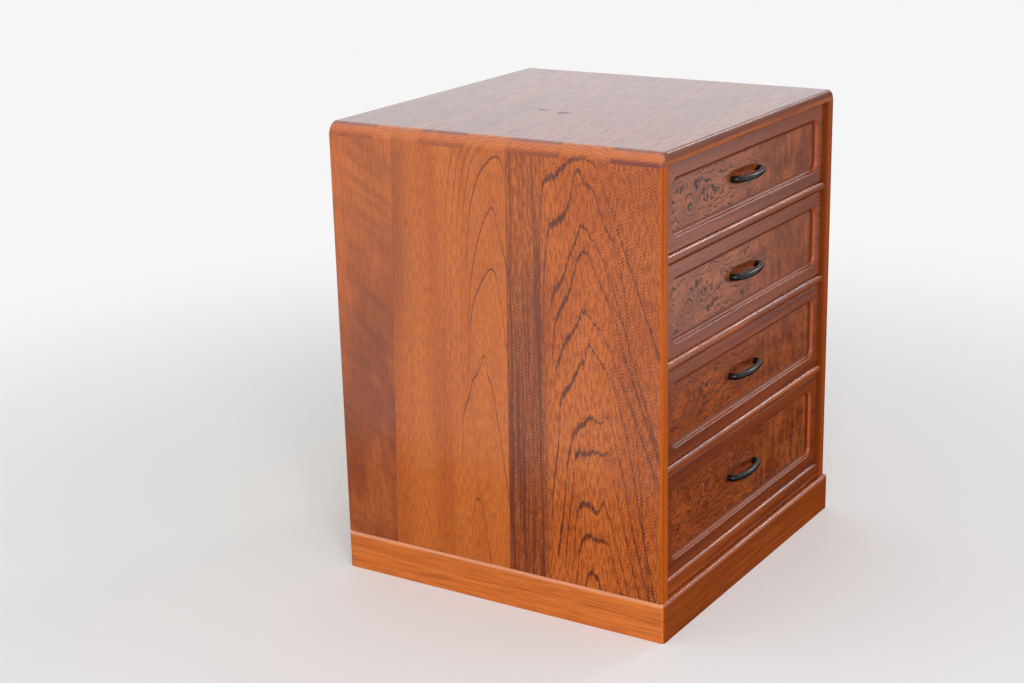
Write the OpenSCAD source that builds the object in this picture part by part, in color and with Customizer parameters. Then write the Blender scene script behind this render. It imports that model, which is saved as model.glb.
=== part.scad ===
// Small four drawer chest of joined hardwood boards.
// Origin: middle of the footprint, on the surface that the chest stands on.
// The drawer fronts face -Y, +X is the right-hand side for someone in front of them, +Z is up.

/* [Carcase] */
// Width over the two side boards
body_w = 360; // [260:1:480]
// Depth from the front edge to the back edge of the side boards
body_d = 343; // [240:1:440]
// Thickness of the side boards
side_t = 13; // [12.5:0.5:18]
// Thickness of the top board
top_t = 12; // [12:0.5:18]
// Thickness of the back panel
back_t = 8; // [5:0.5:12]
// Depth of the rebate that the back panel sits in
back_rebate = 6; // [4:0.5:8]
// Radius of the rounded top corners
corner_r = 12; // [8:0.5:12]
// Radius of the outer front edges
arris_r = 3; // [1:0.5:4]
// Radius of the inner front edges
inner_arris_r = 1.2; // [0.5:0.1:2]
// Number of fingers across each top corner, odd so that the top board has both outer ones
finger_count = 7; // [5:2:11]

/* [Rails and shelves] */
// Height of each front rail between two drawers
rail_t = 9; // [8:0.5:14]
// Depth of the front rails from front to back
rail_d = 30; // [20:1:50]
// How far the rails stand behind the front edges of the sides
rail_setback = 1.5; // [0.5:0.5:3]
// Radius of the rounded front edges of the rails
rail_nose_r = 3.4; // [1:0.2:4]
// Height of the rail under the lowest drawer
bottom_rail_h = 17; // [14:1:30]
// Thickness of the shelf boards behind the rails
shelf_t = 7; // [6.5:0.5:8]
// Thickness of the bottom board
bottom_board_t = 9; // [7:0.5:12]
// How deep the shelves and rails are housed in the sides
housing_depth = 4; // [2:0.5:6]
// How far the rail housings stop behind the rail fronts
housing_stop = 6; // [5:0.5:10]
// Thickness of the tongue that joins a shelf to its rail
tongue_t = 3; // [2:0.5:3.5]
// Length of that tongue
tongue_l = 4; // [2:0.5:6]

/* [Bays] */
// Height of the opening for the top drawer
bay_1_h = 78; // [70:0.5:140]
// Height of the opening for the second drawer
bay_2_h = 85.5; // [70:0.5:140]
// Height of the opening for the third drawer
bay_3_h = 86.5; // [70:0.5:140]
// Height of the opening for the lowest drawer
bay_4_h = 97; // [70:0.5:160]

/* [Plinth] */
// Height of the plinth
plinth_h = 37; // [30:1:60]
// Thickness of the plinth boards
plinth_t = 24; // [20:1:30]
// How far the plinth stands out past each side board
plinth_side_lip = 2; // [1:0.5:6]
// How far the plinth stands out in front of the side boards
plinth_front_lip = 3.3; // [1:0.1:8]
// Radius along the top edge of the plinth
plinth_top_r = 3.5; // [1:0.5:5]
// Radius of the upright corners of the plinth
plinth_corner_r = 3; // [1:0.5:6]
// Length of the short sides of the corner blocks
block_leg = 28; // [15:1:40]
// Height of the corner blocks
block_h = 26; // [15:1:29]

/* [Drawer boxes] */
// How far the drawer faces stand behind the front edges of the sides
face_setback = 4.4; // [3:0.1:8]
// Thickness of the drawer fronts
front_t = 18; // [17:0.5:24]
// Running clearance at each side of a drawer
gap_side = 0.8; // [0.4:0.1:1.5]
// Clearance above a drawer front
gap_over = 0.8; // [0.5:0.1:2]
// Clearance under a drawer
gap_under = 0.3; // [0.2:0.1:1]
// Thickness of the drawer sides
drawer_side_t = 8; // [7:0.5:10]
// Thickness of the drawer backs
drawer_back_t = 8; // [6:0.5:12]
// Thickness of the drawer bottoms
drawer_bottom_t = 5; // [3:0.5:6]
// Height of a drawer bottom above the lower edges of its sides
bottom_lift = 4; // [3:0.5:6]
// Depth of the grooves that hold the drawer bottoms
groove_d = 3; // [2:0.5:4]
// Thickness of a drawer front in front of its side joints
lap_t = 10; // [9:0.5:11]
// How far the drawer sides stay below the top of the opening
side_drop = 4; // [2:0.5:10]
// Radius of the outer edges of a drawer front
face_arris_r = 1; // [0.5:0.1:1.5]

/* [Recessed panels] */
// Width of the plain border at the left and right of a panel
border_side = 13.2; // [10:0.2:20]
// Width of the plain border above a panel
border_top = 13.2; // [10:0.2:18]
// Width of the plain border below a panel
border_bottom = 12.2; // [10:0.2:18]
// Depth of the panel behind the border
recess_depth = 4.5; // [4.2:0.1:5.5]
// Radius of the hollow moulding round the panel
cove_r = 4; // [2:0.2:4]
// Radius of the panel's corners at the border
recess_corner_r = 9; // [6:0.5:14]
// Radius of the rounded lip between border and moulding
lip_r = 0.9; // [0.4:0.1:1.5]
// Thickness of the burl veneer
burl_t = 1.2; // [0.8:0.1:2]

/* [Pulls] */
// Diameter of the pull's rod
pull_d = 6.4; // [5:0.2:7]
// Half the distance between the two fixed ends
pull_reach = 27; // [22:0.2:32]
// How far the ends of the grip stand out from the veneer
pull_stand = 5.2; // [5.2:0.1:8]
// Radius of the bends from the grip to the fixed ends
pull_bend_r = 4; // [3.8:0.1:5]
// Slope at both ends of the grip, which bows out between them
pull_bow_angle = 17; // [6:1:24]
// Angle below level at which the grip bows out
pull_droop = 10; // [0:1:30]
// Height of the fixed ends above the middle of the panel
pull_rise = 0.5; // [-2:0.5:2]
// How deep the ends go into the drawer front behind the veneer's face
tail_depth = 9; // [7:0.5:10]
// Half the length of the carved finger hollow
scoop_half_l = 41; // [38:0.5:50]
// Half the height of the finger hollow
scoop_half_h = 8.4; // [7:0.1:10]
// Depth of the finger hollow behind the veneer's face
scoop_depth = 2.4; // [2:0.1:5]
// Turn of the finger hollow that brings its +X end down
scoop_tilt = 5; // [0:1:8]
// Diameter of the screws that hold the pull from inside the drawer
screw_d = 3; // [2.5:0.1:3.5]
// Diameter of the screw heads
screw_head_d = 7; // [6:0.2:9]
// Height of the screw heads
screw_head_h = 2.2; // [1.5:0.1:3]
// How far the screws reach into the pull
screw_grip = 6; // [4:0.5:6.5]

/* [Drawer stops] */
// Thickness of a stop block from front to back
stop_t = 6; // [4:0.5:12]
// Width of a stop block
stop_w = 22; // [12:1:40]
// Height of a stop block
stop_h = 12; // [10:0.5:16]
// Distance from the side board to a stop block
stop_inset = 45; // [30:1:80]

/* [Fits] */
// Gap between a drawer and its stop blocks at rest
stop_gap = 0.3; // [0.1:0.1:1]
// Clearance round the pull's ends and screws
pin_gap = 0.15; // [0.1:0.05:0.3]

/* [Hidden] */
$fn = 64;

timber = [0.72, 0.38, 0.19];
timber_dark = [0.58, 0.30, 0.18];
burl_tone = [0.50, 0.29, 0.22];
pale_wood = [0.83, 0.71, 0.54];
iron_black = [0.13, 0.12, 0.12];
screw_steel = [0.62, 0.62, 0.63];

// Small overlap that lets one cut run into the next
eps = 1;
// How far the other stretches of a pull run into its bends, and how much fuller the bends are
rod_lap = 0.3;
bend_swell = 0.03;
bay_heights = [bay_1_h, bay_2_h, bay_3_h, bay_4_h];
bay_count = len(bay_heights);

// Level of the floor of each bay, counted from the top drawer down
function sum_of(list, from, i = 0) = from + i >= len(list) ? 0 : list[from + i] + sum_of(list, from, i + 1);
floor_4 = plinth_h + bottom_rail_h;
function bay_floor(n) = floor_4 + sum_of(bay_heights, n) + (bay_count - n) * rail_t;
total_h = bay_floor(1) + bay_1_h + top_t;

front_y = (plinth_front_lip - body_d) / 2;
back_y = front_y + body_d;
open_w = body_w - 2 * side_t;
inside_y = back_y - back_t;
under_top = total_h - top_t;
rail_front = front_y + rail_setback;
rail_back = rail_front + rail_d;
finger_w = body_d / finger_count;

face_y = front_y + face_setback;
drawer_len = inside_y - stop_t - stop_gap - face_y;
front_w = open_w - 2 * gap_side;
panel_w = front_w - 2 * border_side;
burl_face = recess_depth;
tail_end = burl_face + tail_depth;

// Where the grip ends it slopes back by grip_back, and the bends there are turned by bend_turn
grip_back = asin(sin(pull_bow_angle) * cos(pull_droop));
bend_turn = atan2(sin(pull_bow_angle) * sin(pull_droop), cos(pull_bow_angle));
bend_in = pull_bend_r * (1 - sin(grip_back));
grip_r = (pull_reach - bend_in * cos(bend_turn)) / sin(pull_bow_angle);
tail_start = pull_bend_r * cos(grip_back) - pull_stand;

// The finger hollow: an arc turned about a line parallel to the drawer front
scoop_r = (scoop_half_h * scoop_half_h + scoop_depth * scoop_depth) / (2 * scoop_depth);
scoop_axis = scoop_r - scoop_depth;
scoop_arc = (scoop_half_l * scoop_half_l + scoop_depth * scoop_depth) / (2 * scoop_depth);

// A box from its low corner to its high corner
module block(low, high) {
    translate(low)
        cube(high - low);
}

// Rectangle round the origin with rounded corners
module rounded_rect(w, h, r) {
    square([w - 2 * r, h], center = true);
    square([w, h - 2 * r], center = true);
    for (sx = [-1, 1], sy = [-1, 1])
        translate([sx * (w / 2 - r), sy * (h / 2 - r)])
            circle(r);
}

// What a rounding of radius r takes off a square corner whose point is the origin
module arris_section(r) {
    difference() {
        translate([-eps, -eps])
            square(r + eps);
        translate([r, r])
            circle(r);
    }
}

// Sweeps a section round a rectangle with rounded corners, in the XY plane.
// The section's X points outwards from the outline and its Y points along +Z.
module round_outline(w, h, r) {
    for (side = [0, 1]) {
        long = side == 0 ? w - 2 * r : h - 2 * r;
        reach = side == 0 ? h / 2 : w / 2;
        for (turn = [0, 180])
            rotate([0, 0, turn + 90 * side])
                translate([long / 2, -reach, 0])
                    rotate([90, 0, -90])
                        linear_extrude(long)
                            children();
    }
    for (sx = [0, 1], sy = [0, 1])
        translate([(sx - 0.5) * (w - 2 * r), (sy - 0.5) * (h - 2 * r), 0])
            rotate([0, 0, sx == 1 ? (sy == 1 ? 0 : -90) : (sy == 1 ? 90 : 180)])
                rotate_extrude(angle = 90)
                    translate([r, 0])
                        children();
}

// Carcase

// Outline of the closed carcase seen from the front, with its rounded top corners
module carcase_outline() {
    translate([-body_w / 2, plinth_h])
        square([body_w, total_h - plinth_h - corner_r]);
    translate([corner_r - body_w / 2, plinth_h])
        square([body_w - 2 * corner_r, total_h - plinth_h]);
    for (s = [-1, 1])
        translate([s * (body_w / 2 - corner_r), total_h - corner_r])
            circle(corner_r);
}

module carcase_block() {
    translate([0, back_y, 0])
        rotate([90, 0, 0])
            linear_extrude(body_d)
                carcase_outline();
}

// Cut that rounds the outer front edges, round both top corners
module outer_arris_cut() {
    straight_h = total_h - corner_r - plinth_h;
    for (s = [0, 1])
        mirror([s, 0, 0]) {
            translate([-body_w / 2, front_y, plinth_h])
                linear_extrude(straight_h)
                    arris_section(arris_r);
            translate([corner_r - body_w / 2, front_y, total_h - corner_r])
                rotate([90, 0, 0])
                    rotate([0, 0, 90])
                        rotate_extrude(angle = 90)
                            translate([corner_r, 0])
                                rotate(180)
                                    arris_section(arris_r);
        }
    translate([corner_r - body_w / 2, front_y, total_h])
        rotate([0, 90, 0])
            linear_extrude(body_w - 2 * corner_r)
                arris_section(arris_r);
}

// Cut that rounds the inner front edges of the sides and the top
module inner_arris_cut() {
    for (s = [0, 1])
        mirror([s, 0, 0])
            translate([side_t - body_w / 2, front_y, plinth_h - eps])
                linear_extrude(under_top - plinth_h + eps)
                    mirror([1, 0])
                        arris_section(inner_arris_r);
    translate([side_t - body_w / 2, front_y, under_top])
        rotate([0, 90, 0])
            linear_extrude(open_w)
                mirror([1, 0])
                    arris_section(inner_arris_r);
}

// The fingers that belong to the side boards: every second one, the outer ones left out
module side_fingers(s) {
    for (i = [1 : 2 : finger_count - 2]) {
        x0 = s < 0 ? -body_w / 2 : body_w / 2 - side_t;
        y0 = front_y + i * finger_w;
        block([x0, y0, under_top], [x0 + side_t, y0 + finger_w, total_h]);
    }
}

// The space that the back panel fills
module back_seat() {
    half = open_w / 2 + back_rebate;
    block([-half, inside_y, plinth_h], [half, back_y, under_top + back_rebate]);
}

module rail_body(top_z, high) {
    nose = min(rail_nose_r, high / 2);
    difference() {
        block([-open_w / 2, rail_front, top_z - high], [open_w / 2, rail_back, top_z]);
        for (up = [0, 1])
            translate([-open_w / 2 - eps, rail_front, up == 1 ? top_z : top_z - high])
                rotate([0, 90, 0])
                    linear_extrude(open_w + 2 * eps)
                        mirror([1 - up, 0])
                            arris_section(nose);
    }
}

// The stopped tenons at the ends of a rail, and so also their housings
module rail_tenons(top_z, high) {
    for (s = [0, 1])
        mirror([s, 0, 0])
            block([-open_w / 2 - housing_depth, rail_front + housing_stop, top_z - high],
                  [-open_w / 2, rail_back, top_z]);
}

// The tongue of a shelf, and so also the groove in the back of its rail
module tongue(top_z, thick) {
    mid = top_z - thick / 2;
    block([-open_w / 2, rail_back - tongue_l, mid - tongue_t / 2],
          [open_w / 2, rail_back, mid + tongue_t / 2]);
}

module shelf_body(top_z, thick) {
    half = open_w / 2 + housing_depth;
    block([-half, rail_back, top_z - thick], [half, inside_y, top_z]);
    tongue(top_z, thick);
}

module rail(top_z, high, thick) {
    difference() {
        union() {
            rail_body(top_z, high);
            rail_tenons(top_z, high);
        }
        tongue(top_z, thick);
    }
}

// Everything that is let into the inner faces of the side boards
module housings() {
    for (n = [1 : bay_count - 1]) {
        rail_tenons(bay_floor(n), rail_t);
        shelf_body(bay_floor(n), shelf_t);
    }
    rail_tenons(floor_4, bottom_rail_h);
    shelf_body(floor_4, bottom_board_t);
}

module side_board(s) {
    x0 = s < 0 ? -body_w / 2 : body_w / 2 - side_t;
    difference() {
        union() {
            block([x0, front_y, plinth_h], [x0 + side_t, back_y, under_top]);
            intersection() {
                side_fingers(s);
                carcase_block();
            }
        }
        housings();
        back_seat();
        outer_arris_cut();
        inner_arris_cut();
    }
}

module left_side() {
    color(timber)
        side_board(-1);
}

module right_side() {
    color(timber)
        side_board(1);
}

module top_board() {
    color(timber)
        difference() {
            intersection() {
                block([-body_w / 2, front_y, under_top], [body_w / 2, back_y, total_h]);
                carcase_block();
            }
            side_fingers(-1);
            side_fingers(1);
            back_seat();
            outer_arris_cut();
            inner_arris_cut();
        }
}

module back_panel() {
    color(pale_wood)
        back_seat();
}

module bottom_board() {
    color(pale_wood)
        shelf_body(floor_4, bottom_board_t);
}

module bottom_rail() {
    color(timber)
        rail(floor_4, bottom_rail_h, bottom_board_t);
}

module rail_between(n) {
    color(timber)
        rail(bay_floor(n), rail_t, shelf_t);
}

module shelf(n) {
    color(pale_wood)
        shelf_body(bay_floor(n), shelf_t);
}

// Two blocks behind each drawer that it comes to rest against
module drawer_stops() {
    color(pale_wood)
        for (n = [1 : bay_count], s = [0, 1])
            mirror([s, 0, 0])
                block([-open_w / 2 + stop_inset, inside_y - stop_t, bay_floor(n)],
                      [-open_w / 2 + stop_inset + stop_w, inside_y, bay_floor(n) + stop_h]);
}

// Plinth

plinth_w = body_w + 2 * plinth_side_lip;
plinth_front_y = front_y - plinth_front_lip;
plinth_d = back_y - plinth_front_y;

// Corners of the plinth frame's plan: outer ones first, then inner ones
function plinth_corner(sx, sy, inset) = [
    sx * (plinth_w / 2 - inset),
    sy < 0 ? plinth_front_y + inset : back_y - inset
];

module plinth_plan() {
    translate([0, (plinth_front_y + back_y) / 2])
        rounded_rect(plinth_w, plinth_d, plinth_corner_r);
}

// Plan of one mitred board of the frame between two corners
module mitred_plan(a, b) {
    polygon([
        plinth_corner(a[0], a[1], 0),
        plinth_corner(b[0], b[1], 0),
        plinth_corner(b[0], b[1], plinth_t),
        plinth_corner(a[0], a[1], plinth_t)
    ]);
}

// Section of a plinth board: its outer face is on the Y axis, its top outer edge is rounded
module plinth_section() {
    difference() {
        square([plinth_t, plinth_h]);
        translate([0, plinth_h])
            mirror([0, 1])
                arris_section(plinth_top_r);
    }
}

module plinth_board(a, b) {
    color(timber)
        intersection() {
            linear_extrude(plinth_h)
                intersection() {
                    plinth_plan();
                    mitred_plan(a, b);
                }
            if (a[1] == b[1])
                translate([-plinth_w / 2, a[1] < 0 ? plinth_front_y : back_y, 0])
                    mirror([0, a[1] < 0 ? 0 : 1, 0])
                        rotate([90, 0, 90])
                            linear_extrude(plinth_w)
                                plinth_section();
            else
                translate([a[0] * plinth_w / 2, back_y, 0])
                    mirror([a[0] < 0 ? 0 : 1, 0, 0])
                        rotate([90, 0, 0])
                            linear_extrude(plinth_d)
                                plinth_section();
        }
}

module plinth_front() {
    plinth_board([-1, -1], [1, -1]);
}

module plinth_back() {
    plinth_board([1, 1], [-1, 1]);
}

module plinth_left() {
    plinth_board([-1, 1], [-1, -1]);
}

module plinth_right() {
    plinth_board([1, -1], [1, 1]);
}

// Glue blocks in the inner corners of the plinth, level with its top edge
module plinth_blocks() {
    color(pale_wood)
        for (sx = [-1, 1], sy = [-1, 1]) {
            corner = plinth_corner(sx, sy, plinth_t);
            translate([0, 0, plinth_h - block_h])
                linear_extrude(block_h)
                    polygon([
                        corner,
                        corner - [sx * block_leg, 0],
                        corner - [0, sy * block_leg]
                    ]);
        }
}

// Drawers: each is made with its face on the XZ plane and the bay's floor at zero

module in_bay(n) {
    translate([0, face_y, bay_floor(n)])
        children();
}

function front_low() = gap_under;
function front_high(n) = bay_heights[n - 1] - gap_over;
function panel_h(n) = front_high(n) - front_low() - border_top - border_bottom;
function panel_z(n) = front_low() + border_bottom + panel_h(n) / 2;
function side_high(n) = bay_heights[n - 1] - side_drop;
bottom_low = gap_under + bottom_lift;
bottom_high = bottom_low + drawer_bottom_t;

// Turns a plan drawn round the origin into a body that goes back from the drawer's face
module into_front(n, depth_from) {
    translate([0, depth_from, panel_z(n)])
        rotate([-90, 0, 0])
            children();
}

// Section of the hollow moulding, inside the panel's outline
module cove_section() {
    difference() {
        translate([-cove_r, -eps])
            square([cove_r, recess_depth + eps]);
        difference() {
            translate([-cove_r, recess_depth - cove_r])
                square(cove_r);
            translate([-cove_r, recess_depth - cove_r])
                circle(cove_r);
        }
    }
}

module panel_plan(n) {
    rounded_rect(panel_w - 2 * cove_r, panel_h(n) - 2 * cove_r, recess_corner_r - cove_r);
}

// The recess, its moulding and its rounded lip
module recess_cut(n) {
    into_front(n, -eps)
        linear_extrude(recess_depth + eps)
            panel_plan(n);
    into_front(n, 0)
        round_outline(panel_w, panel_h(n), recess_corner_r)
            cove_section();
    into_front(n, 0)
        round_outline(panel_w, panel_h(n), recess_corner_r)
            arris_section(lip_r);
}

module scoop_cut(n) {
    translate([0, burl_face - scoop_axis, panel_z(n)])
        rotate([0, 90 + scoop_tilt, 0])
            rotate_extrude()
                intersection() {
                    translate([scoop_r - scoop_arc, 0])
                        circle(scoop_arc, $fn = 360);
                    translate([0, -scoop_half_l - eps])
                        square([scoop_r, 2 * (scoop_half_l + eps)]);
                }
}

module face_arris_cut(n) {
    high = front_high(n);
    for (s = [0, 1])
        mirror([s, 0, 0])
            translate([-front_w / 2, 0, 0])
                linear_extrude(high + eps)
                    arris_section(face_arris_r);
    for (up = [0, 1])
        translate([-front_w / 2 - eps, 0, up == 1 ? high : front_low()])
            rotate([0, 90, 0])
                linear_extrude(front_w + 2 * eps)
                    mirror([1 - up, 0])
                        arris_section(face_arris_r);
}

module drawer_front(n) {
    color(timber_dark)
        in_bay(n)
            difference() {
                block([-front_w / 2, 0, front_low()], [front_w / 2, front_t, front_high(n)]);
                face_arris_cut(n);
                recess_cut(n);
                into_front(n, recess_depth - eps)
                    linear_extrude(burl_t + eps)
                        panel_plan(n);
                scoop_cut(n);
                pull_holes(n);
                for (s = [0, 1])
                    mirror([s, 0, 0])
                        block([-front_w / 2 - eps, lap_t, 0],
                              [-front_w / 2 + drawer_side_t, front_t + eps, front_high(n) + eps]);
                bottom_space();
            }
}

module drawer_burl(n) {
    color(burl_tone)
        in_bay(n)
            difference() {
                into_front(n, burl_face)
                    linear_extrude(burl_t)
                        panel_plan(n);
                scoop_cut(n);
                pull_holes(n);
            }
}

// The drawer's bottom board, and so also the grooves that it slides into
module bottom_space() {
    half = front_w / 2 - drawer_side_t + groove_d;
    block([-half, front_t - groove_d, bottom_low], [half, drawer_len, bottom_high]);
}

module drawer_side(n, s) {
    x0 = s < 0 ? -front_w / 2 : front_w / 2 - drawer_side_t;
    color(pale_wood)
        in_bay(n)
            difference() {
                block([x0, lap_t, gap_under], [x0 + drawer_side_t, drawer_len, side_high(n)]);
                bottom_space();
            }
}

module drawer_back(n) {
    half = front_w / 2 - drawer_side_t;
    color(pale_wood)
        in_bay(n)
            block([-half, drawer_len - drawer_back_t, bottom_high], [half, drawer_len, side_high(n)]);
}

module drawer_bottom(n) {
    color(pale_wood)
        in_bay(n)
            bottom_space();
}

// Pulls

// Places its children at both fixed ends of a pull, looking back into the drawer front
module at_tails(n, depth) {
    for (s = [-1, 1])
        translate([s * pull_reach, depth, panel_z(n) + pull_rise])
            rotate([-90, 0, 0])
                children();
}

module pull_holes(n) {
    at_tails(n, 0)
        cylinder(h = tail_end, d = pull_d + 2 * pin_gap);
    at_tails(n, 0)
        cylinder(h = front_t + eps, d = screw_d + 2 * pin_gap);
}

// A bend of rod about the Z axis, from the X axis round to the given angle
module rod_bend(r, angle, d) {
    rotate_extrude(angle = angle)
        translate([r, 0])
            circle(d = d);
}

// The bow with its fixed ends on the X axis: they point along +Y, and the grip bows out between them
module bow() {
    lap_angle = rod_lap / grip_r * 180 / PI;
    sweep = 2 * (pull_bow_angle + lap_angle);
    end_in = grip_r * cos(pull_bow_angle);
    translate([0, end_in * cos(pull_droop) - pull_stand, end_in * sin(pull_droop) - bend_in * sin(bend_turn)])
        rotate([pull_droop, 0, 0])
            rotate([0, 0, -90 - sweep / 2])
                rod_bend(grip_r, sweep, pull_d);
    for (s = [0, 1])
        mirror([s, 0, 0]) {
            translate([pull_reach - pull_bend_r * cos(bend_turn), tail_start, -pull_bend_r * sin(bend_turn)])
                rotate([0, -bend_turn, 0])
                    rotate([0, 0, grip_back - 90])
                        rod_bend(pull_bend_r, 90 - grip_back, pull_d + 2 * bend_swell);
            translate([pull_reach, tail_start - rod_lap, 0])
                rotate([-90, 0, 0])
                    cylinder(h = tail_depth + rod_lap - tail_start, d = pull_d);
        }
}

module pull(n) {
    color(iron_black)
        in_bay(n)
            difference() {
                translate([0, burl_face, panel_z(n) + pull_rise])
                    bow();
                at_tails(n, tail_end - screw_grip)
                    cylinder(h = screw_grip + eps, d = screw_d);
            }
}

module pull_screws(n) {
    color(screw_steel)
        in_bay(n) {
            at_tails(n, tail_end - screw_grip)
                cylinder(h = front_t - tail_end + screw_grip, d = screw_d);
            at_tails(n, front_t)
                cylinder(h = screw_head_h, d = screw_head_d);
        }
}

top_board();
left_side();
right_side();
back_panel();
bottom_board();
bottom_rail();
rail_between(1);  // rail_1
rail_between(2);  // rail_2
rail_between(3);  // rail_3
shelf(1);  // shelf_1
shelf(2);  // shelf_2
shelf(3);  // shelf_3
drawer_stops();
plinth_front();
plinth_back();
plinth_left();
plinth_right();
plinth_blocks();
drawer_front(1);  // drawer_1_front
drawer_burl(1);  // drawer_1_burl
drawer_side(1, -1);  // drawer_1_left_side
drawer_side(1, 1);  // drawer_1_right_side
drawer_back(1);  // drawer_1_back
drawer_bottom(1);  // drawer_1_bottom
pull(1);  // drawer_1_pull
pull_screws(1);  // drawer_1_screws
drawer_front(2);  // drawer_2_front
drawer_burl(2);  // drawer_2_burl
drawer_side(2, -1);  // drawer_2_left_side
drawer_side(2, 1);  // drawer_2_right_side
drawer_back(2);  // drawer_2_back
drawer_bottom(2);  // drawer_2_bottom
pull(2);  // drawer_2_pull
pull_screws(2);  // drawer_2_screws
drawer_front(3);  // drawer_3_front
drawer_burl(3);  // drawer_3_burl
drawer_side(3, -1);  // drawer_3_left_side
drawer_side(3, 1);  // drawer_3_right_side
drawer_back(3);  // drawer_3_back
drawer_bottom(3);  // drawer_3_bottom
pull(3);  // drawer_3_pull
pull_screws(3);  // drawer_3_screws
drawer_front(4);  // drawer_4_front
drawer_burl(4);  // drawer_4_burl
drawer_side(4, -1);  // drawer_4_left_side
drawer_side(4, 1);  // drawer_4_right_side
drawer_back(4);  // drawer_4_back
drawer_bottom(4);  // drawer_4_bottom
pull(4);  // drawer_4_pull
pull_screws(4);  // drawer_4_screws
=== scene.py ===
import logging
import math
from dataclasses import dataclass
from enum import Enum
from typing import Iterable, Union

import bpy
from mathutils import Matrix, Vector


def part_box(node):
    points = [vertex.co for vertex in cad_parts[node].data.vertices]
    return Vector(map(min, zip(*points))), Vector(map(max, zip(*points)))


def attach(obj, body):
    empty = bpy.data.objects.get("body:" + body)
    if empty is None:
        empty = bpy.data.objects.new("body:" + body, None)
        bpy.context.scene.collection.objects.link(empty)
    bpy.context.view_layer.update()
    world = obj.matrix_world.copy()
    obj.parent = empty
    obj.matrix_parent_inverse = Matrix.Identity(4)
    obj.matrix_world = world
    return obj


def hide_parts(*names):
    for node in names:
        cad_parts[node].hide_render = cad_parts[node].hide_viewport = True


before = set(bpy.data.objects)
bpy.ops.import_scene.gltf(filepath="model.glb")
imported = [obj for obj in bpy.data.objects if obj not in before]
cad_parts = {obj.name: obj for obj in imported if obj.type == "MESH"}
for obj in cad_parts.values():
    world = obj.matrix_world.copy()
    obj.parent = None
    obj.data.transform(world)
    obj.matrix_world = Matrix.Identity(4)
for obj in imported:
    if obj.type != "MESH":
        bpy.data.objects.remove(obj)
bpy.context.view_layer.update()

# Looks of a small four drawer chest: the joined case and its plinth, four drawers with
# recessed burl fronts, and black iron bow pulls over carved finger hollows.
# Sizes are in metres where meshes are made and in millimetres inside the finishes.

LOG = logging.getLogger("chest")
MM = 1000.0
DRAWER_COUNT = 4

Number = Union["Field", float, int]
Tone = tuple[float, float, float]
Line = tuple[tuple[float, float], ...]

# Growth lines of the left side, drawn one by one: millimetres behind the front edge, and height.
BOLD_LINES: tuple[Line, ...] = (
    ((44, 378), (50, 393), (56, 405), (59, 416), (63, 425), (70, 429), (82, 429), (88, 426), (95, 420),
     (104, 412), (114, 406), (116, 395), (118, 377), (119, 340), (120, 290)),
    ((34, 299), (38, 331), (43, 350), (46, 361), (52, 370), (57, 381), (62, 396), (66, 404), (74, 409),
     (80, 419), (83, 414), (87, 396), (90, 387), (95, 378), (100, 374), (107, 369), (110, 363),
     (113, 344), (115, 322), (117, 285), (118, 240)),
    ((43, 308), (47, 320), (55, 339), (60, 351), (68, 363), (77, 371), (80, 365), (86, 350), (90, 342),
     (93, 331), (98, 320), (104, 311), (108, 301), (110, 275), (111, 235)),
    ((35, 259), (40, 274), (43, 287), (47, 298), (57, 318), (67, 339), (71, 347), (75, 349), (79, 345),
     (85, 328), (88, 318), (91, 308), (96, 300), (102, 288), (104, 282), (107, 262), (109, 230),
     (110, 190)),
    ((42, 245), (46, 255), (50, 265), (55, 273), (58, 280), (64, 284), (68, 290), (77, 296), (79, 290),
     (86, 277), (92, 269), (98, 257), (102, 246), (104, 238), (106, 215), (107, 175)),
    ((26, 142), (31, 170), (35, 193), (40, 209), (45, 226), (50, 239), (55, 247), (65, 259), (71, 265),
     (74, 256), (76, 250), (80, 248), (84, 238), (91, 225), (97, 218), (100, 211), (103, 170),
     (109, 127), (112, 77)),
    ((23, 77), (29, 102), (35, 134), (40, 159), (45, 177), (48, 191), (51, 198), (55, 203), (58, 197),
     (62, 196), (70, 200), (76, 194), (82, 188), (87, 182), (91, 167), (94, 153), (96, 128), (103, 77),
     (106, 58)),
    ((29, 64), (36, 93), (41, 116), (45, 133), (47, 150), (49, 164), (52, 169), (60, 167), (68, 168),
     (73, 165), (82, 165), (86, 160), (87, 148), (90, 123), (96, 73), (98, 40)),
    ((35, 44), (39, 61), (45, 84), (48, 97), (52, 108), (55, 115), (58, 121), (61, 115), (64, 112),
     (68, 114), (72, 117), (79, 118), (84, 109), (86, 99), (88, 75), (90, 50)),
    ((43, 47), (46, 58), (50, 71), (52, 80), (55, 85), (61, 85), (68, 85), (73, 87), (77, 84),
     (80, 80), (82, 74), (85, 51), (87, 35)),
    ((58, 30), (63, 43), (67, 50), (70, 52), (74, 50), (76, 42), (80, 28)),
)
NARROW_LINES: tuple[Line, ...] = (
    ((152, 396), (155, 414), (159, 423), (165, 423), (171, 418), (179, 408), (184, 397), (190, 375),
     (194, 345), (197, 312)),
    ((150, 300), (155, 332), (159, 347), (163, 365), (168, 378), (171, 374), (175, 368), (182, 349),
     (187, 332), (191, 313), (194, 289), (197, 260)),
    ((152, 225), (157, 263), (160, 288), (163, 308), (166, 320), (170, 322), (176, 316), (183, 304),
     (187, 295), (192, 277), (195, 250), (198, 215)),
    ((163, 150), (168, 185), (173, 213), (177, 224), (180, 240), (184, 231), (188, 222), (193, 215),
     (196, 203), (203, 185), (206, 155), (208, 131)),
    ((177, 30), (181, 54), (184, 77), (187, 93), (191, 100), (195, 90), (198, 74), (199, 48), (200, 25)),
)
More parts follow.
